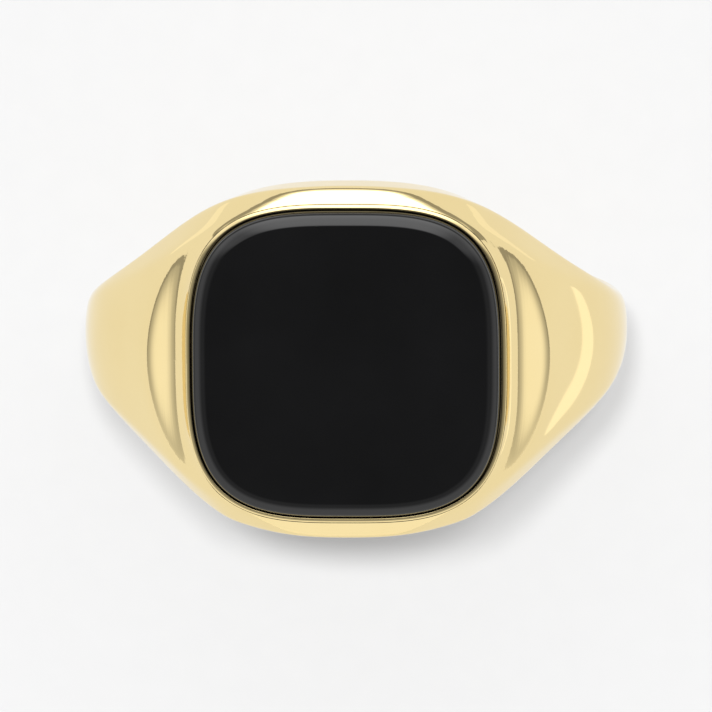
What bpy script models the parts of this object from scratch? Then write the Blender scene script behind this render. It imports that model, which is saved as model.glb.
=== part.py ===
"""Signet ring: a cast gold ring whose cushion-shaped head holds a flat black stone in a thin bezel.

Metres. The finger hole runs along Y, the stone faces +Z, and the origin is the centre of the finger hole.
The cast body is a loft of closed sections, one for each step round the finger hole. Each section is cut from
the same surfaces: the bore, the outer profile, the two flanks with a bevel above them, and the rim and scoop
round the stone.
"""

import math

import bmesh
import bpy
import numpy as np

MM = 0.001

# Finger hole and overall proportions
BORE_RADIUS = 9.25 * MM
BORE_EDGE_BLEND = 0.45 * MM

# Outer profile seen along the finger: (degrees from the top of the ring, radius)
OUTER_PROFILE = (
    (0.0, 15.90 * MM),
    (12.0, 15.30 * MM),
    (22.0, 14.29 * MM),
    (32.0, 13.33 * MM),
    (44.0, 12.43 * MM),
    (58.0, 11.82 * MM),
    (74.0, 11.17 * MM),
    (90.0, 10.79 * MM),
    (130.0, 10.80 * MM),
    (180.0, 10.85 * MM),
)

# Crown of the outer profile across the band: (degrees from the top, fall at 1 mm from the middle)
CROWN = (
    (0.0, 0.045 * MM),
    (25.0, 0.045 * MM),
    (45.0, 0.050 * MM),
    (65.0, 0.070 * MM),
    (90.0, 0.100 * MM),
    (180.0, 0.100 * MM),
)

# Half width seen from above: (degrees at a pivot below the finger hole, half width along Y)
FLANK_PIVOT_DEPTH = 9.0 * MM
FLANK_PROFILE = (
    (0.0, 6.88 * MM),
    (8.0, 6.70 * MM),
    (14.0, 6.15 * MM),
    (20.0, 5.08 * MM),
    (26.0, 3.84 * MM),
    (32.0, 2.80 * MM),
    (39.0, 2.02 * MM),
    (48.0, 1.53 * MM),
    (60.0, 1.45 * MM),
    (90.0, 1.45 * MM),
    (180.0, 1.45 * MM),
)

# Rounding of the edges between the flanks and the outer profile: (degrees from the top, blend)
EDGE_BLEND = (
    (0.0, 0.20 * MM),
    (15.0, 0.20 * MM),
    (30.0, 0.25 * MM),
    (45.0, 0.35 * MM),
    (65.0, 0.80 * MM),
    (90.0, 1.00 * MM),
    (180.0, 1.00 * MM),
)

# Bevel between the flanks and the top surface: (degrees from the top, cut)
EDGE_BEVEL = (
    (0.0, 0.0),
    (8.0, 0.03 * MM),
    (14.0, 0.28 * MM),
    (20.0, 0.62 * MM),
    (30.0, 0.80 * MM),
    (40.0, 0.74 * MM),
    (52.0, 0.48 * MM),
    (70.0, 0.10 * MM),
    (90.0, 0.0),
    (180.0, 0.0),
)
BEVEL_TILT = math.radians(33.0)
BEVEL_BLEND = 0.25 * MM

# Cushion outline of the stone, |x|^p + |y|^p = half^p
STONE_HALF = 6.0 * MM
CUSHION_POWER = 3.3
OUTLINE_POINTS = 72

# Rim and the scoop that falls away from it
RIM_HEIGHT = 11.85 * MM
RIM_FLAT = 0.21 * MM
RIM_SLOPE = math.tan(math.radians(25.0))
SCOOP_START = 0.15 * MM
SCOOP_START_GROWTH = 0.30 * MM
SCOOP_STEEP = 3.40
SCOOP_SHALLOW = 0.43
SCOOP_CORNER_FADE = 3
SCOOP_LENGTH = 0.27 * MM
SCOOP_BLEND = 0.42 * MM

# Stone, collar and setting bed
FIT_GAP = 0.03 * MM
COLLAR_WALL = 0.18 * MM
COLLAR_TOP = 11.88 * MM
RECESS_FLOOR = 10.15 * MM
CEMENT_THICKNESS = 0.20 * MM
CEMENT_INSET = 0.25 * MM
CUT_OVERSHOOT = 1.0 * MM
STONE_FACE = 12.37 * MM
STONE_BEVEL = 0.45 * MM
STONE_BEVEL_STEPS = 2

# Loft resolution
STATIONS = 100
STATION_CROWDING = 0.45
SECTION_POINTS = 44
SECTION_SQUARENESS = 0.6
SECTION_CENTRE = 0.8 * MM
SECTION_REACH = 3.0
FACE_COSINE_LIMIT = 0.3
SEARCH_STEPS = 40
SHARP_ANGLE = math.radians(35.0)
TINY = 1e-12


def smooth_profile(stations):
    """Smooth curve through (position, value) pairs, level at both ends."""
    knots, values = (np.array(column, float) for column in zip(*stations))
    steps = np.diff(knots)
    slopes = np.diff(values) / steps
    count = len(knots)
    matrix = np.zeros((count, count))
    rhs = np.zeros(count)
    for i in range(1, count - 1):
        matrix[i, i - 1 : i + 2] = steps[i - 1], 2 * (steps[i - 1] + steps[i]), steps[i]
        rhs[i] = 6 * (slopes[i] - slopes[i - 1])
    matrix[0, :2] = 2 * steps[0], steps[0]
    rhs[0] = 6 * slopes[0]
    matrix[-1, -2:] = steps[-1], 2 * steps[-1]
    rhs[-1] = -6 * slopes[-1]
    bends = np.linalg.solve(matrix, rhs)

    def curve(position):
        position = np.clip(position, knots[0], knots[-1])
        i = np.clip(np.searchsorted(knots, position) - 1, 0, count - 2)
        after = position - knots[i]
        before = knots[i + 1] - position
        cubic = (bends[i] * before**3 + bends[i + 1] * after**3) / (6 * steps[i])
        start = (values[i] / steps[i] - bends[i] * steps[i] / 6) * before
        end = (values[i + 1] / steps[i] - bends[i + 1] * steps[i] / 6) * after
        return cubic + start + end

    return curve


outer_radius = smooth_profile(OUTER_PROFILE)
flank_width = smooth_profile(FLANK_PROFILE)
edge_blend = smooth_profile(EDGE_BLEND)
edge_bevel = smooth_profile(EDGE_BEVEL)
crown_fall = smooth_profile(CROWN)


def blended_max(a, b, blend):
    """Larger of two surfaces' values, with the edge between them rounded."""
    overlap = np.maximum(blend - np.abs(a - b), 0) / blend
    return np.maximum(a, b) + overlap**3 * blend / 6


def distance_outside_stone(x, y):
    """About how far a point lies outside the cushion outline, and how much the outline faces along Y there."""
    p = CUSHION_POWER
    ax, ay = np.abs(x) + TINY, np.abs(y) + TINY
    size = (ax**p + ay**p) ** (1 / p)
    gx, gy = (ax / size) ** (p - 1), (ay / size) ** (p - 1)
    steepness = np.hypot(gx, gy)
    return (size - STONE_HALF) / steepness, (gy / steepness) ** 2


def scoop_surface(x, y, z):
    """Negative below the rim and the scoop that falls away from it beside the stone."""
    outside, along_y = distance_outside_stone(x, y)
    band = np.maximum(outside - RIM_FLAT, 0)
    away = np.maximum(outside - SCOOP_START - SCOOP_START_GROWTH * along_y**2, 0)
    fade = np.exp(-away / SCOOP_LENGTH)
    steep = SCOOP_STEEP * (1 - along_y) ** SCOOP_CORNER_FADE
    shallow = (SCOOP_SHALLOW - RIM_SLOPE) * (1 - along_y)
    drop = RIM_SLOPE * band + shallow * away + steep * SCOOP_LENGTH * (1 - fade)
    slope = np.where(away > 0, SCOOP_SHALLOW + steep * fade, RIM_SLOPE)
    return (z - RIM_HEIGHT + drop) / np.hypot(1, slope)


def body_surface(x, y, z):
    """Negative inside the cast body, as it is before the recess is cut."""
    radius = np.hypot(x, z)
    around = np.degrees(np.arctan2(np.abs(x), z))
    swing = np.degrees(np.arctan2(np.abs(x), z + FLANK_PIVOT_DEPTH))
    profile = radius - outer_radius(around) + crown_fall(around) * (y / MM) ** 2
    crown = blended_max(scoop_surface(x, y, z), profile, SCOOP_BLEND)
    flank = np.abs(y) - flank_width(swing)
    solid = blended_max(crown, flank, edge_blend(around))
    bevel = math.cos(BEVEL_TILT) * crown + math.sin(BEVEL_TILT) * flank + edge_bevel(around) / math.sqrt(2)
    solid = blended_max(solid, bevel, BEVEL_BLEND)
    return blended_max(solid, BORE_RADIUS - radius, BORE_EDGE_BLEND)


def body_sections(stations, points):
    """Grid of points on the body: one row for each station round the finger hole."""
    turn = np.linspace(0, 2 * math.pi, stations, endpoint=False)
    angle = (turn - STATION_CROWDING * np.sin(turn))[:, None]
    ray = (np.arange(points) + 0.5) * 2 * math.pi / points
    across, along = np.cos(ray)[None], np.sin(ray)[None]
    core = BORE_RADIUS + SECTION_CENTRE
    around = np.abs(np.degrees((angle + math.pi) % (2 * math.pi) - math.pi))
    swing = np.degrees(
        np.arctan2(np.abs(np.sin(angle)) * core, np.cos(angle) * core + FLANK_PIVOT_DEPTH)
    )
    to_face = RIM_HEIGHT / np.maximum(np.cos(angle), FACE_COSINE_LIMIT)
    upward = np.minimum(outer_radius(around), to_face) - core
    step_y = flank_width(swing) * np.sign(across) * np.abs(across) ** SECTION_SQUARENESS
    step_r = np.where(along > 0, upward, SECTION_CENTRE)
    step_r = step_r * np.sign(along) * np.abs(along) ** SECTION_SQUARENESS
    near = np.zeros_like(step_r)
    far = near + SECTION_REACH
    for _ in range(SEARCH_STEPS):
        middle = (near + far) / 2
        reach = core + middle * step_r
        inside = body_surface(reach * np.sin(angle), middle * step_y, reach * np.cos(angle)) < 0
        near = np.where(inside, middle, near)
        far = np.where(inside, far, middle)
    reach = core + near * step_r
    return np.stack([reach * np.sin(angle), near * step_y, reach * np.cos(angle)], axis=-1)


def loft(name, rows):
    """Closed tube through rows of points, joined end to end both ways."""
    stations, points = rows.shape[:2]
    bm = bmesh.new()
    grid = [[bm.verts.new(point) for point in row] for row in rows]
    for i in range(stations):
        here, following = grid[i], grid[(i + 1) % stations]
        for j in range(points):
            k = (j + 1) % points
            bm.faces.new((here[j], here[k], following[k], following[j]))
    bmesh.ops.recalc_face_normals(bm, faces=bm.faces)
    mesh = bpy.data.meshes.new(name)
    bm.to_mesh(mesh)
    bm.free()
    return bpy.data.objects.new(name, mesh)


def cushion_block(name, offset, bottom, top, bevel=0.0):
    """Upright block on the stone's outline moved out by offset, with its top edge bevelled if asked."""
    turn = (np.arange(OUTLINE_POINTS) + 0.5) * 2 * math.pi / OUTLINE_POINTS
    half = STONE_HALF + offset
    x = half * np.sign(np.cos(turn)) * np.abs(np.cos(turn)) ** (2 / CUSHION_POWER)
    y = half * np.sign(np.sin(turn)) * np.abs(np.sin(turn)) ** (2 / CUSHION_POWER)
    bm = bmesh.new()
    base = bm.faces.new([bm.verts.new((u, v, bottom)) for u, v in zip(x, y)])
    raised = bmesh.ops.extrude_face_region(bm, geom=[base])["geom"]
    lifted = [item for item in raised if isinstance(item, bmesh.types.BMVert)]
    bmesh.ops.translate(bm, verts=lifted, vec=(0, 0, top - bottom))
    if bevel:
        rim = [e for e in bm.edges if all(v.co.z > (top + bottom) / 2 for v in e.verts)]
        bmesh.ops.bevel(
            bm,
            geom=rim,
            offset=bevel,
            segments=STONE_BEVEL_STEPS,
            profile=0.5,
            affect="EDGES",
        )
    bmesh.ops.recalc_face_normals(bm, faces=bm.faces)
    mesh = bpy.data.meshes.new(name)
    bm.to_mesh(mesh)
    bm.free()
    return bpy.data.objects.new(name, mesh)


def add_material(obj, colour, metallic, roughness):
    material = bpy.data.materials.new(obj.name)
    material.use_nodes = True
    shader = material.node_tree.nodes["Principled BSDF"]
    shader.inputs["Base Color"].default_value = (*colour, 1.0)
    shader.inputs["Metallic"].default_value = metallic
    shader.inputs["Roughness"].default_value = roughness
    material.diffuse_color = (*colour, 1.0)
    obj.data.materials.append(material)


def add_cut(obj, cutter):
    cut = obj.modifiers.new("cut_" + cutter.name, "BOOLEAN")
    cut.operation = "DIFFERENCE"
    cut.solver = "EXACT"
    cut.object = cutter


def shade(obj):
    for polygon in obj.data.polygons:
        polygon.use_smooth = True
    obj.data.set_sharp_from_angle(angle=SHARP_ANGLE)


def main():
    for obj in list(bpy.data.objects):
        bpy.data.objects.remove(obj)
    parts = bpy.data.collections.new("signet_ring")
    cutters = bpy.data.collections.new("cutters")
    for collection in (parts, cutters):
        bpy.context.scene.collection.children.link(collection)

    collar_inside = FIT_GAP
    collar_outside = collar_inside + COLLAR_WALL
    recess_wall = collar_outside + FIT_GAP
    cement_top = RECESS_FLOOR + FIT_GAP + CEMENT_THICKNESS
    stone_bottom = cement_top + FIT_GAP
    above = RIM_HEIGHT + CUT_OVERSHOOT

    body = loft("ring_body", body_sections(STATIONS, SECTION_POINTS))
    collar = cushion_block("bezel_collar", collar_outside, RECESS_FLOOR + FIT_GAP, COLLAR_TOP)
    stone = cushion_block("onyx_stone", 0.0, stone_bottom, STONE_FACE, STONE_BEVEL)
    cement = cushion_block("stone_cement", -CEMENT_INSET, RECESS_FLOOR + FIT_GAP, cement_top)
    recess = cushion_block("recess", recess_wall, RECESS_FLOOR, above)
    opening = cushion_block("collar_opening", collar_inside, RECESS_FLOOR - CUT_OVERSHOOT, above)

    add_cut(body, recess)
    add_cut(collar, opening)
    for obj in (body, collar, stone, cement):
        parts.objects.link(obj)
        shade(obj)
    for obj in (recess, opening):
        cutters.objects.link(obj)
        obj.hide_render = True
        obj.display_type = "WIRE"

    add_material(body, (0.91, 0.75, 0.40), 1.0, 0.08)
    add_material(collar, (0.91, 0.75, 0.40), 1.0, 0.10)
    add_material(stone, (0.008, 0.008, 0.009), 0.0, 0.04)
    add_material(cement, (0.32, 0.29, 0.24), 0.0, 0.75)


main()
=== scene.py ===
"""Signet ring on a white table: fine surfaces, materials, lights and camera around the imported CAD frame."""

import math

import bmesh
import bpy
import numpy as np
from mathutils import Matrix, Vector


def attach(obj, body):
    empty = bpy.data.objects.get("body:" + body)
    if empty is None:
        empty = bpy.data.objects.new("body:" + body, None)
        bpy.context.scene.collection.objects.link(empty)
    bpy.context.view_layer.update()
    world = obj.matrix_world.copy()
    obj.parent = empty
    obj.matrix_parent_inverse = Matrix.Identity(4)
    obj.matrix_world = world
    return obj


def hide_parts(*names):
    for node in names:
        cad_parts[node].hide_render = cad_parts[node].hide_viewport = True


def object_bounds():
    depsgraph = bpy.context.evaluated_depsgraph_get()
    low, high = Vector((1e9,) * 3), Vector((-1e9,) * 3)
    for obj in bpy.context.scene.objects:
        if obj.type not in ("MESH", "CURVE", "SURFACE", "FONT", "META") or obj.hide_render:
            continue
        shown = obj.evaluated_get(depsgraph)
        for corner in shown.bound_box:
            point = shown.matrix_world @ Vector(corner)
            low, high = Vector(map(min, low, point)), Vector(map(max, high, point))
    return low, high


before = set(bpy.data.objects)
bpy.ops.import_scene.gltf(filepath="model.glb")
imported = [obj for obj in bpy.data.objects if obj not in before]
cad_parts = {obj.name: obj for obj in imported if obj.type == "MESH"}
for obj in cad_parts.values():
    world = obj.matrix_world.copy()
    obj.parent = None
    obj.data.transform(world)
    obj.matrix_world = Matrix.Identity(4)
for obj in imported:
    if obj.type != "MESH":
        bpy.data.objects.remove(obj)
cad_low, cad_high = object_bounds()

MM = 0.001

# ---------------------------------------------------------------- shape, with the same dimensions as the CAD
BORE_RADIUS = 9.25 * MM
BORE_EDGE_BLEND = 0.45 * MM
# Outer profile seen along the finger: (degrees from the top of the ring, radius)
OUTER_PROFILE = (
    (0.0, 15.90 * MM), (12.0, 15.30 * MM), (22.0, 14.29 * MM), (32.0, 13.33 * MM), (44.0, 12.43 * MM),
    (58.0, 11.82 * MM), (74.0, 11.17 * MM), (90.0, 10.79 * MM), (130.0, 10.80 * MM), (180.0, 10.85 * MM),
)
# Crown of the outer profile across the band: (degrees from the top, fall at 1 mm from the middle)
CROWN = (
    (0.0, 0.045 * MM), (25.0, 0.045 * MM), (45.0, 0.050 * MM), (65.0, 0.070 * MM), (90.0, 0.100 * MM),
    (180.0, 0.100 * MM),
)
# Half width seen from above: (degrees at a pivot below the finger hole, half width along Y)
FLANK_PIVOT_DEPTH = 9.0 * MM
FLANK_PROFILE = (
    (0.0, 6.88 * MM), (8.0, 6.70 * MM), (14.0, 6.15 * MM), (20.0, 5.08 * MM), (26.0, 3.84 * MM),
    (32.0, 2.80 * MM), (39.0, 2.02 * MM), (48.0, 1.53 * MM), (60.0, 1.45 * MM), (90.0, 1.45 * MM),
    (180.0, 1.45 * MM),
)
# Bevel between the flanks and the top surface: (degrees from the top, cut)
EDGE_BEVEL = (
    (0.0, 0.0), (8.0, 0.03 * MM), (14.0, 0.28 * MM), (20.0, 0.62 * MM), (30.0, 0.80 * MM), (40.0, 0.74 * MM),
    (52.0, 0.48 * MM), (70.0, 0.10 * MM), (90.0, 0.0), (180.0, 0.0),
)
BEVEL_TILT = math.radians(33.0)
BEVEL_BLEND = 0.25 * MM
# Rounding of the edges between the flanks and the outer profile: (degrees from the top, blend)
EDGE_BLEND = (
    (0.0, 0.20 * MM), (15.0, 0.20 * MM), (30.0, 0.25 * MM), (45.0, 0.35 * MM), (65.0, 0.80 * MM),
    (90.0, 1.00 * MM), (180.0, 1.00 * MM),
)
# Cushion outline of the stone, |x|^p + |y|^p = half^p
STONE_HALF = 6.0 * MM
CUSHION_POWER = 3.3
# Rim and the scoop that falls away from it
RIM_HEIGHT = 11.85 * MM
RIM_FLAT = 0.21 * MM
RIM_SLOPE = math.tan(math.radians(25.0))
SCOOP_START = 0.15 * MM
SCOOP_START_GROWTH = 0.30 * MM
SCOOP_STEEP = 3.40
SCOOP_SHALLOW = 0.43
SCOOP_CORNER_FADE = 3
SCOOP_LENGTH = 0.27 * MM
SCOOP_BLEND = 0.42 * MM
# Stone, collar and recess
FIT_GAP = 0.03 * MM
SEAM_GAP = 0.02 * MM
COLLAR_WALL = 0.18 * MM
RECESS_FLOOR = 10.15 * MM
RECESS_CUT_TOP = 13.0 * MM

# Resolution of the rebuilt surfaces
STATIONS = 480
SECTION_POINTS = 200
SECTION_SAMPLES = 720
STATION_CROWDING = 0.45
SECTION_SQUARENESS = 0.6
SECTION_CENTRE = 0.8 * MM
SECTION_REACH = 3.0
FACE_COSINE_LIMIT = 0.3
SEARCH_STEPS = 30
BEND_SHARE = 0.9
WEIGHT_SPREAD = 3
OUTLINE_POINTS = 288
OUTLINE_STEPS = 4000
TINY = 1e-12
# Polishing marks beside the stone
MARK_SPACING = 0.16 * MM
MARK_REACH = 1.9 * MM
MARK_DEPTH = 0.004 * MM


def smooth_profile(stations):
    """Smooth curve through (position, value) pairs, level at both ends."""
    knots, values = (np.array(column, float) for column in zip(*stations))
    steps = np.diff(knots)
    slopes = np.diff(values) / steps
    count = len(knots)
    matrix = np.zeros((count, count))
    rhs = np.zeros(count)
    for i in range(1, count - 1):
        matrix[i, i - 1 : i + 2] = steps[i - 1], 2 * (steps[i - 1] + steps[i]), steps[i]
        rhs[i] = 6 * (slopes[i] - slopes[i - 1])
    matrix[0, :2] = 2 * steps[0], steps[0]
    rhs[0] = 6 * slopes[0]
    matrix[-1, -2:] = steps[-1], 2 * steps[-1]
    rhs[-1] = -6 * slopes[-1]
    bends = np.linalg.solve(matrix, rhs)

    def curve(position):
        position = np.clip(position, knots[0], knots[-1])
        i = np.clip(np.searchsorted(knots, position) - 1, 0, count - 2)
        after = position - knots[i]
        before = knots[i + 1] - position
        cubic = (bends[i] * before**3 + bends[i + 1] * after**3) / (6 * steps[i])
        start = (values[i] / steps[i] - bends[i] * steps[i] / 6) * before
        end = (values[i + 1] / steps[i] - bends[i + 1] * steps[i] / 6) * after
        return cubic + start + end

    return curve


outer_radius = smooth_profile(OUTER_PROFILE)
flank_width = smooth_profile(FLANK_PROFILE)
edge_blend = smooth_profile(EDGE_BLEND)
crown_fall = smooth_profile(CROWN)
edge_bevel = smooth_profile(EDGE_BEVEL)


def blended_max(a, b, blend):
    """Larger of two surfaces' values, with the edge between them rounded."""
    overlap = np.maximum(blend - np.abs(a - b), 0) / blend
    return np.maximum(a, b) + overlap**3 * blend / 6


def distance_outside_stone(x, y):
    """About how far a point lies outside the cushion outline, and how much the outline faces along Y."""
    p = CUSHION_POWER
    ax, ay = np.abs(x) + TINY, np.abs(y) + TINY
    size = (ax**p + ay**p) ** (1 / p)
    gx, gy = (ax / size) ** (p - 1), (ay / size) ** (p - 1)
    steepness = np.hypot(gx, gy)
    return (size - STONE_HALF) / steepness, (gy / steepness) ** 2


def scoop_surface(x, y, z):
    """Negative below the rim and the scoop that falls away from it beside the stone."""
    outside, along_y = distance_outside_stone(x, y)
    band = np.maximum(outside - RIM_FLAT, 0)
    away = np.maximum(outside - SCOOP_START - SCOOP_START_GROWTH * along_y**2, 0)
    fade = np.exp(-away / SCOOP_LENGTH)
    steep = SCOOP_STEEP * (1 - along_y) ** SCOOP_CORNER_FADE
    shallow = (SCOOP_SHALLOW - RIM_SLOPE) * (1 - along_y)
    drop = RIM_SLOPE * band + shallow * away + steep * SCOOP_LENGTH * (1 - fade)
    slope = np.where(away > 0, SCOOP_SHALLOW + steep * fade, RIM_SLOPE)
    return (z - RIM_HEIGHT + drop) / np.hypot(1, slope)


def body_surface(x, y, z):
    """Negative inside the cast body, as it is before the recess is cut."""
    radius = np.hypot(x, z)
    around = np.degrees(np.arctan2(np.abs(x), z))
    swing = np.degrees(np.arctan2(np.abs(x), z + FLANK_PIVOT_DEPTH))
    profile = radius - outer_radius(around) + crown_fall(around) * (y / MM) ** 2
    crown = blended_max(scoop_surface(x, y, z), profile, SCOOP_BLEND)
    flank = np.abs(y) - flank_width(swing)
    solid = blended_max(crown, flank, edge_blend(around))
    bevel = math.cos(BEVEL_TILT) * crown + math.sin(BEVEL_TILT) * flank + edge_bevel(around) / math.sqrt(2)
    solid = blended_max(solid, bevel, BEVEL_BLEND)
    return blended_max(solid, BORE_RADIUS - radius, BORE_EDGE_BLEND)


def body_sections():
    """Points on the body: one closed row for each station round the finger hole, closer where it curves."""
    turn = np.linspace(0, 2 * math.pi, STATIONS, endpoint=False)
    angle = (turn - STATION_CROWDING * np.sin(turn))[:, None]
    ray = np.arange(SECTION_SAMPLES) * 2 * math.pi / SECTION_SAMPLES - math.pi / 2
    across, along = np.cos(ray)[None], np.sin(ray)[None]
    core = BORE_RADIUS + SECTION_CENTRE
    around = np.abs(np.degrees((angle + math.pi) % (2 * math.pi) - math.pi))
    swing = np.degrees(
        np.arctan2(np.abs(np.sin(angle)) * core, np.cos(angle) * core + FLANK_PIVOT_DEPTH)
    )
    to_face = RIM_HEIGHT / np.maximum(np.cos(angle), FACE_COSINE_LIMIT)
    upward = np.minimum(outer_radius(around), to_face) - core
    step_y = flank_width(swing) * np.sign(across) * np.abs(across) ** SECTION_SQUARENESS
    step_r = np.where(along > 0, upward, SECTION_CENTRE)
    step_r = step_r * np.sign(along) * np.abs(along) ** SECTION_SQUARENESS
    near = np.zeros_like(step_r)
    far = near + SECTION_REACH
    for _ in range(SEARCH_STEPS):
        middle = (near + far) / 2
        reach = core + middle * step_r
        inside = body_surface(reach * np.sin(angle), middle * step_y, reach * np.cos(angle)) < 0
        near = np.where(inside, middle, near)
        far = np.where(inside, far, middle)
    reach = core + near * step_r
    dense = np.stack([reach, near * step_y], axis=-1)
    chord = np.roll(dense, -1, axis=1) - dense
    length = np.linalg.norm(chord, axis=-1)
    heading = np.unwrap(np.arctan2(chord[..., 0], chord[..., 1]), axis=1)
    bend = np.abs((heading - np.roll(heading, 1, axis=1) + math.pi) % (2 * math.pi) - math.pi)
    # Rows get more points where the section bends, spread evenly over the neighbouring points and rows
    shared_bend = (bend + np.roll(bend, -1, axis=1)) / 2
    weight = length / length.sum(axis=1, keepdims=True) + BEND_SHARE * shared_bend / (2 * math.pi)
    shifts = range(-WEIGHT_SPREAD, WEIGHT_SPREAD + 1)
    for axis in (1, 0, 0):
        weight = sum(np.roll(weight, shift, axis=axis) for shift in shifts) / len(shifts)
    cumulative = np.concatenate([np.zeros((STATIONS, 1)), np.cumsum(weight, axis=1)], axis=1)
    cumulative /= cumulative[:, -1:]
    wanted = np.arange(SECTION_POINTS) / SECTION_POINTS
    rows = np.empty((STATIONS, SECTION_POINTS, 3))
    closed = np.concatenate([dense, dense[:, :1]], axis=1)
    for i in range(STATIONS):
        r = np.interp(wanted, cumulative[i], closed[i, :, 0])
        y = np.interp(wanted, cumulative[i], closed[i, :, 1])
        rows[i] = np.stack([r * np.sin(angle[i, 0]), y, r * np.cos(angle[i, 0])], axis=-1)
    return rows


def mesh_from_grid(name, rows, close_ends):
    """Mesh over a grid that is closed along each row. The rows join end to end, or are capped."""
    count, points = rows.shape[:2]
    index = np.arange(count * points).reshape(count, points)
    here = index if not close_ends else index[:-1]
    there = np.roll(index, -1, axis=0) if not close_ends else index[1:]
    quads = np.stack([here, np.roll(here, -1, 1), np.roll(there, -1, 1), there], axis=-1).reshape(-1, 4)
    faces = quads.tolist()
    if close_ends:
        faces += [index[0, ::-1].tolist(), index[-1].tolist()]
    mesh = bpy.data.meshes.new(name)
    mesh.from_pydata(rows.reshape(-1, 3).tolist(), [], faces)
    bm = bmesh.new()
    bm.from_mesh(mesh)
    bmesh.ops.recalc_face_normals(bm, faces=bm.faces)
    bm.to_mesh(mesh)
    bm.free()
    obj = bpy.data.objects.new(name, mesh)
    bpy.context.scene.collection.objects.link(obj)
    return obj


def cushion_outline(offset):
    """Evenly spaced points on the stone's outline, moved outwards by offset."""
    turn = np.linspace(0, 2 * math.pi, OUTLINE_STEPS + 1)
    p = CUSHION_POWER
    c, s = np.cos(turn), np.sin(turn)
    x = STONE_HALF * np.sign(c) * np.abs(c) ** (2 / p)
    y = STONE_HALF * np.sign(s) * np.abs(s) ** (2 / p)
    walked = np.concatenate([[0], np.cumsum(np.hypot(np.diff(x), np.diff(y)))])
    wanted = np.arange(OUTLINE_POINTS) / OUTLINE_POINTS * walked[-1]
    x, y = np.interp(wanted, walked, x), np.interp(wanted, walked, y)
    nx = np.sign(x) * (np.abs(x) / STONE_HALF) ** (p - 1)
    ny = np.sign(y) * (np.abs(y) / STONE_HALF) ** (p - 1)
    size = np.hypot(nx, ny)
    return x + offset * nx / size, y + offset * ny / size


def cushion_rows(profile):
    """One row of points round the stone for each (offset, height) of the profile."""
    rows = []
    for offset, height in profile:
        x, y = cushion_outline(offset)
        rows.append(np.stack([x, y, np.full_like(x, height)], axis=-1))
    return np.array(rows)


def smooth(obj, angle):
    """Smooth shading, with edges sharper than angle degrees kept crisp."""
    obj.data.shade_smooth()
    obj.data.set_sharp_from_angle(angle=math.radians(angle))


# ---------------------------------------------------------------- materials
class Nodes:
    """Short way to write the node tree of a material or a world."""

    def __init__(self, data, shader="Principled BSDF"):
        self.data = data
        data.use_nodes = True
        self.tree = data.node_tree
        self.shader = self.tree.nodes[shader]

    def add(self, kind, inputs=None, **settings):
        """New node; each input takes a socket to link or a plain value."""
        node = self.tree.nodes.new(kind)
        for key, value in settings.items():
            setattr(node, key, value)
        for key, value in (inputs or {}).items():
            if isinstance(value, bpy.types.NodeSocket):
                self.tree.links.new(value, node.inputs[key])
            else:
                node.inputs[key].default_value = value
        return node

    def ramp(self, value, stops):
        """Colour of value between (position, colour) stops."""
        node = self.add("ShaderNodeValToRGB", {"Fac": value})
        elements = node.color_ramp.elements
        while len(elements) < len(stops):
            elements.new(0.5)
        for element, (position, colour) in zip(elements, stops):
            element.position = position
            element.color = (*colour, 1.0)
        return node.outputs["Color"]

    def math(self, operation, first, second):
        return self.add("ShaderNodeMath", {0: first, 1: second}, operation=operation).outputs[0]

    def window(self, value, low, high, level=1.0):
        """Smooth step of value: 0 at low, level at high."""
        settings = {"Value": value, "From Min": low, "From Max": high, "To Max": level}
        return self.add("ShaderNodeMapRange", settings, interpolation_type="SMOOTHSTEP").outputs["Result"]

    def set(self, key, value):
        """Link or set one of the shader's inputs."""
        if isinstance(value, bpy.types.NodeSocket):
            self.tree.links.new(value, self.shader.inputs[key])
        else:
            self.shader.inputs[key].default_value = value


def gold_material(name, roughness):
    """Polished yellow gold with a faint cloud in its colour, haze, and polishing marks round the stone."""
    m = Nodes(bpy.data.materials.new(name))
    place = m.add("ShaderNodeTexCoord").outputs["Object"]
    cloud = m.add("ShaderNodeTexNoise", {"Vector": place, "Scale": 260.0, "Detail": 3.0}).outputs["Fac"]
    m.set("Base Color", m.ramp(cloud, ((0.3, (0.885, 0.715, 0.365)), (0.7, (0.905, 0.74, 0.39)))))
    m.set("Metallic", 1.0)
    m.set("Specular Tint", (0.98, 0.96, 0.90, 1.0))
    haze = m.add("ShaderNodeTexNoise", {"Vector": place, "Scale": 900.0, "Detail": 4.0}).outputs["Fac"]
    level = m.add("ShaderNodeMapRange", {"Value": haze, "To Min": roughness * 0.7, "To Max": roughness * 1.4})
    m.set("Roughness", level.outputs["Result"])
    # Polishing marks that follow the stone's outline and fade out away from it
    split = m.add("ShaderNodeSeparateXYZ", {"Vector": place}).outputs
    sides = [m.math("POWER", m.math("ABSOLUTE", split[axis], 0.0), CUSHION_POWER) for axis in ("X", "Y")]
    ring = m.math("POWER", m.math("ADD", *sides), 1 / CUSHION_POWER)
    turn = m.math("ARCTAN2", split["Y"], split["X"])
    across = m.math("DIVIDE", ring, MARK_SPACING)
    flow = m.add("ShaderNodeCombineXYZ", {"X": across, "Y": m.math("MULTIPLY", turn, 0.9)}).outputs["Vector"]
    marks = m.add("ShaderNodeTexNoise", {"Vector": flow, "Scale": 1.0, "Detail": 2.0}).outputs["Fac"]
    near = m.window(ring, STONE_HALF + MARK_REACH, STONE_HALF + 0.3 * MARK_REACH)
    fade = m.math("MULTIPLY", near, m.window(split["Z"], 0.7 * RIM_HEIGHT, 0.8 * RIM_HEIGHT))
    height = m.math("MULTIPLY", marks, fade)
    bump = m.add("ShaderNodeBump", {"Height": height, "Strength": 1.0, "Distance": MARK_DEPTH})
    m.set("Normal", bump.outputs["Normal"])
    return m.data


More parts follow.
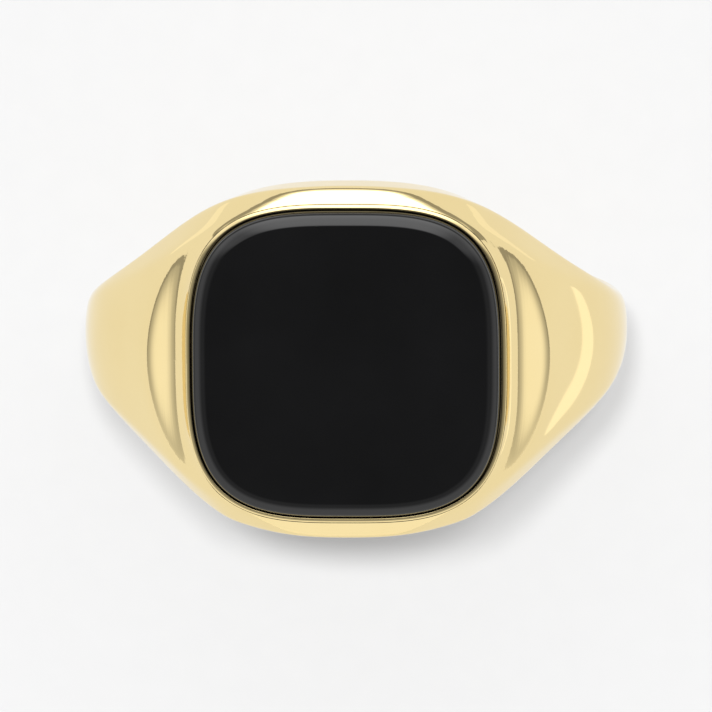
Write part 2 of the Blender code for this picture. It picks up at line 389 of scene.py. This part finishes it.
def onyx_material():
    """Polished black stone with a trace of cloud and smear."""
    m = Nodes(bpy.data.materials.new("onyx"))
    place = m.add("ShaderNodeTexCoord").outputs["Object"]
    cloud = m.add("ShaderNodeTexNoise", {"Vector": place, "Scale": 180.0, "Detail": 5.0}).outputs["Fac"]
    m.set("Base Color", m.ramp(cloud, ((0.35, (0.0008, 0.0008, 0.0009)), (0.75, (0.0018, 0.0018, 0.002)))))
    m.set("IOR", 1.54)
    smear = m.add("ShaderNodeTexNoise", {"Vector": place, "Scale": 700.0, "Detail": 3.0}).outputs["Fac"]
    level = m.add("ShaderNodeMapRange", {"Value": smear, "To Min": 0.03, "To Max": 0.06})
    m.set("Roughness", level.outputs["Result"])
    return m.data


def cement_material():
    """Grainy setting cement under the stone."""
    m = Nodes(bpy.data.materials.new("cement"))
    place = m.add("ShaderNodeTexCoord").outputs["Object"]
    grain = m.add("ShaderNodeTexNoise", {"Vector": place, "Scale": 4000.0, "Detail": 6.0}).outputs["Fac"]
    m.set("Base Color", m.ramp(grain, ((0.3, (0.24, 0.21, 0.17)), (0.7, (0.40, 0.36, 0.30)))))
    m.set("Roughness", 0.8)
    bump = m.add("ShaderNodeBump", {"Height": grain, "Strength": 0.4, "Distance": 0.02 * MM})
    m.set("Normal", bump.outputs["Normal"])
    return m.data


# ---------------------------------------------------------------- pieces
body = mesh_from_grid("ring_surface", body_sections(), close_ends=False)
collar_out = FIT_GAP + COLLAR_WALL
recess_wall = collar_out + SEAM_GAP
recess_profile = ((recess_wall, RECESS_FLOOR), (recess_wall, RECESS_CUT_TOP))
recess = mesh_from_grid("recess", cushion_rows(recess_profile), close_ends=True)
cut = body.modifiers.new("recess", "BOOLEAN")
cut.operation = "DIFFERENCE"
cut.solver = "EXACT"
cut.object = recess
bpy.context.view_layer.update()
evaluated = body.evaluated_get(bpy.context.evaluated_depsgraph_get())
finished = bpy.data.meshes.new_from_object(evaluated)
body.modifiers.clear()
body.data = finished
bpy.data.objects.remove(recess)
smooth(body, 50.0)
body.data.materials.clear()
body.data.materials.append(gold_material("gold_body", 0.05))
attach(body, "root")
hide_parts("ring_body")

# Closed section of the collar: (outside the stone's outline, height), in mm
COLLAR_PROFILE = (
    (0.21, 10.18), (0.21, 11.835), (0.203, 11.85), (0.19, 11.858), (0.095, 11.882),
    (0.07, 11.885), (0.05, 11.88), (0.035, 11.865), (0.03, 11.84), (0.03, 10.18),
)
collar_rows = cushion_rows([(offset * MM, height * MM) for offset, height in COLLAR_PROFILE])
collar = mesh_from_grid("collar_band", np.transpose(collar_rows, (1, 0, 2)), close_ends=False)
smooth(collar, 40.0)
collar.data.materials.append(gold_material("gold_collar", 0.05))
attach(collar, "root")
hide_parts("bezel_collar")

# Edge of the stone from its back to its face: (outside the stone's outline, height), in mm
STONE_PROFILE = (
    (-0.05, 10.42), (0.0, 10.47), (0.0, 11.86), (-0.012, 11.90), (-0.11, 12.17), (-0.125, 12.195),
    (-0.20, 12.236), (-0.30, 12.284), (-0.39, 12.320), (-0.48, 12.347), (-0.56, 12.364), (-0.62, 12.371),
)
stone_rows = cushion_rows([(offset * MM, height * MM) for offset, height in STONE_PROFILE])
stone = mesh_from_grid("polished_stone", stone_rows, close_ends=True)
smooth(stone, 60.0)
stone.data.materials.append(onyx_material())
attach(stone, "root")
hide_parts("onyx_stone")

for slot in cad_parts["stone_cement"].material_slots:
    slot.material = cement_material()

# ---------------------------------------------------------------- table
TABLE_HALF = 3.0
TABLE_THICKNESS = 0.02
table_height = cad_low[2]
corners = [(x * TABLE_HALF, y * TABLE_HALF) for x, y in ((-1, -1), (1, -1), (1, 1), (-1, 1))]
table_rows = np.array([[(x, y, height) for x, y in corners] for height in (-TABLE_THICKNESS, 0.0)])
table = mesh_from_grid("table", table_rows, close_ends=True)
table.location.z = table_height
m = Nodes(bpy.data.materials.new("table"))
place = m.add("ShaderNodeTexCoord").outputs["Object"]
paper = m.add("ShaderNodeTexNoise", {"Vector": place, "Scale": 900.0, "Detail": 3.0}).outputs["Fac"]
m.set("Base Color", m.ramp(paper, ((0.3, (0.243, 0.243, 0.244)), (0.7, (0.247, 0.247, 0.248)))))
m.set("Roughness", 0.9)
m.set("Specular IOR Level", 0.0)
m.set("Emission Color", (0.985, 0.99, 1.0, 1.0))
m.set("Emission Strength", 0.238)
table.data.materials.append(m.data)

# ---------------------------------------------------------------- lights
# The sky is made of smooth bands. Each pair says where a band begins and where it is full. Heights are the Z
# of a direction, and sides are how far it points to the back, from -1 at the front to 1
ZENITH_LEVEL = 0.13
SKY_LEVEL = 0.20
SKY_HEIGHTS = (0.97, 0.85)
LOW_LEVEL = 0.73
LOW_HEIGHTS = (0.80, 0.60)
GAP_LEVEL = 0.85
GAP_RISE = 0.18
GAP_HEIGHTS = (0.12, 0.06)
GAP_SIDES = (-0.22, -0.05)
SHADE_LEVEL = 0.75
SHADE_HEIGHTS = (0.52, 0.10)
SHADE_SIDES = (-0.60, -0.15)
BACK_WIDE_LEVEL = 0.75
BACK_WIDE_SIDES = (0.25, 0.60)
BACK_LEVEL = 1.45
BACK_SIDES = (0.75, 1.0)
BACK_BOTTOM = (0.36, 0.60)
BACK_TOP = (0.985, 0.955)
KEY_LEAN = math.radians(12.0)
KEY_AZIMUTH = math.radians(85.0)
KEY_ANGLE = math.radians(4.0)
KEY_STRENGTH = 6.2
KEY_SPREAD = math.radians(13.0)
CARD_LIFT = 0.5 * MM
# (name, x, y, length, width, radiance)
FLOOR_CARDS = (
    ("card_right", 38.0 * MM, -6.0 * MM, 7.0 * MM, 26.0 * MM, 0.26),
    ("card_back_right", 33.0 * MM, 27.0 * MM, 16.0 * MM, 26.0 * MM, 0.12),
    ("card_back_left", -33.0 * MM, 27.0 * MM, 16.0 * MM, 26.0 * MM, 0.12),
)

world = bpy.data.worlds.new("studio")
bpy.context.scene.world = world
w = Nodes(world, "Background")
sky_direction = w.add("ShaderNodeTexCoord").outputs["Generated"]
direction = w.add("ShaderNodeSeparateXYZ", {"Vector": sky_direction}).outputs
height = direction["Z"]
level_reach = w.math("SQRT", w.math("SUBTRACT", 1.0, w.math("POWER", height, 2.0)), 0.0)
towards_back = w.math("DIVIDE", direction["Y"], w.math("MAXIMUM", level_reach, 0.001))
sky_light = w.window(height, *SKY_HEIGHTS, SKY_LEVEL)
low_light = w.window(height, *LOW_HEIGHTS, LOW_LEVEL)
# Dark gap above the horizon, higher towards the back
gap_top = w.math("MULTIPLY", w.math("MAXIMUM", towards_back, 0.0), GAP_RISE)
gap = w.window(w.math("SUBTRACT", height, gap_top), *GAP_HEIGHTS, GAP_LEVEL)
gap = w.math("MULTIPLY", gap, w.window(towards_back, *GAP_SIDES))
low_light = w.math("MULTIPLY", low_light, w.math("SUBTRACT", 1.0, gap))
# Shade that deepens towards the horizon at the sides and back
shade = w.window(height, *SHADE_HEIGHTS, SHADE_LEVEL)
shade = w.math("MULTIPLY", shade, w.window(towards_back, *SHADE_SIDES))
low_light = w.math("MULTIPLY", low_light, w.math("SUBTRACT", 1.0, shade))
# Bright light high at the back, which the top rim picks up
back_wide = w.window(towards_back, *BACK_WIDE_SIDES, BACK_WIDE_LEVEL)
back_light = w.math("ADD", back_wide, w.window(towards_back, *BACK_SIDES, BACK_LEVEL))
back_light = w.math("MULTIPLY", back_light, w.window(height, *BACK_BOTTOM))
back_light = w.math("MULTIPLY", back_light, w.window(height, *BACK_TOP))
total = w.math("ADD", w.math("ADD", ZENITH_LEVEL, sky_light), w.math("ADD", low_light, back_light))
w.set("Strength", total)
w.set("Color", (1.0, 1.0, 1.0, 1.0))

# Two suns behind the head make the soft shadows at both sides
for name, azimuth in (("key_right", KEY_AZIMUTH - KEY_SPREAD), ("key_left", KEY_AZIMUTH + KEY_SPREAD)):
    key_data = bpy.data.lights.new(name, "SUN")
    key_data.energy = KEY_STRENGTH / 2
    key_data.angle = KEY_ANGLE
    key = bpy.data.objects.new(name, key_data)
    reach = math.sin(KEY_LEAN)
    towards_key = Vector((reach * math.cos(azimuth), reach * math.sin(azimuth), math.cos(KEY_LEAN)))
    key.rotation_euler = towards_key.to_track_quat("Z", "Y").to_euler()
    key.visible_glossy = False
    bpy.context.scene.collection.objects.link(key)

# Bright cards just above the table, facing up and hidden from the camera, which the shoulders reflect
for name, x, y, length, width, radiance in FLOOR_CARDS:
    card_data = bpy.data.lights.new(name, "AREA")
    card_data.shape = "ELLIPSE"
    card_data.size = length
    card_data.size_y = width
    card_data.energy = radiance * length * width * math.pi**2 / 4
    card = bpy.data.objects.new(name, card_data)
    card.location = (x, y, table_height + CARD_LIFT)
    card.rotation_euler = (math.pi, 0.0, 0.0)
    card.visible_camera = False
    bpy.context.scene.collection.objects.link(card)

# ---------------------------------------------------------------- camera
CAMERA_DISTANCE = 0.300
CAMERA_LEAN_Y = math.radians(8.08)
CAMERA_LEAN_X = math.radians(2.25)
CAMERA_ROLL = math.radians(-0.31)
SENSOR = 36.0
VIEW_WIDTH = 28.63 * MM
OFFSET_UP = 1.351 * MM
OFFSET_RIGHT = 0.074 * MM
NEAR_CLIP = 0.01
FAR_CLIP = 20.0

back = Vector((math.tan(CAMERA_LEAN_X), math.tan(CAMERA_LEAN_Y), 1.0)).normalized()
right = Vector((0, 1, 0)).cross(back).normalized()
up = back.cross(right)
place = back * CAMERA_DISTANCE - up * OFFSET_UP - right * OFFSET_RIGHT
right, up = (
    right * math.cos(CAMERA_ROLL) + up * math.sin(CAMERA_ROLL),
    up * math.cos(CAMERA_ROLL) - right * math.sin(CAMERA_ROLL),
)
camera_data = bpy.data.cameras.new("camera")
camera_data.sensor_width = SENSOR
camera_data.lens = SENSOR * CAMERA_DISTANCE / VIEW_WIDTH
camera_data.clip_start = NEAR_CLIP
camera_data.clip_end = FAR_CLIP
camera = bpy.data.objects.new("camera", camera_data)
camera.matrix_world = Matrix.Translation(place) @ Matrix((right, up, back)).transposed().to_4x4()
bpy.context.scene.collection.objects.link(camera)
bpy.context.scene.camera = camera
bpy.context.scene.view_settings.view_transform = "Standard"
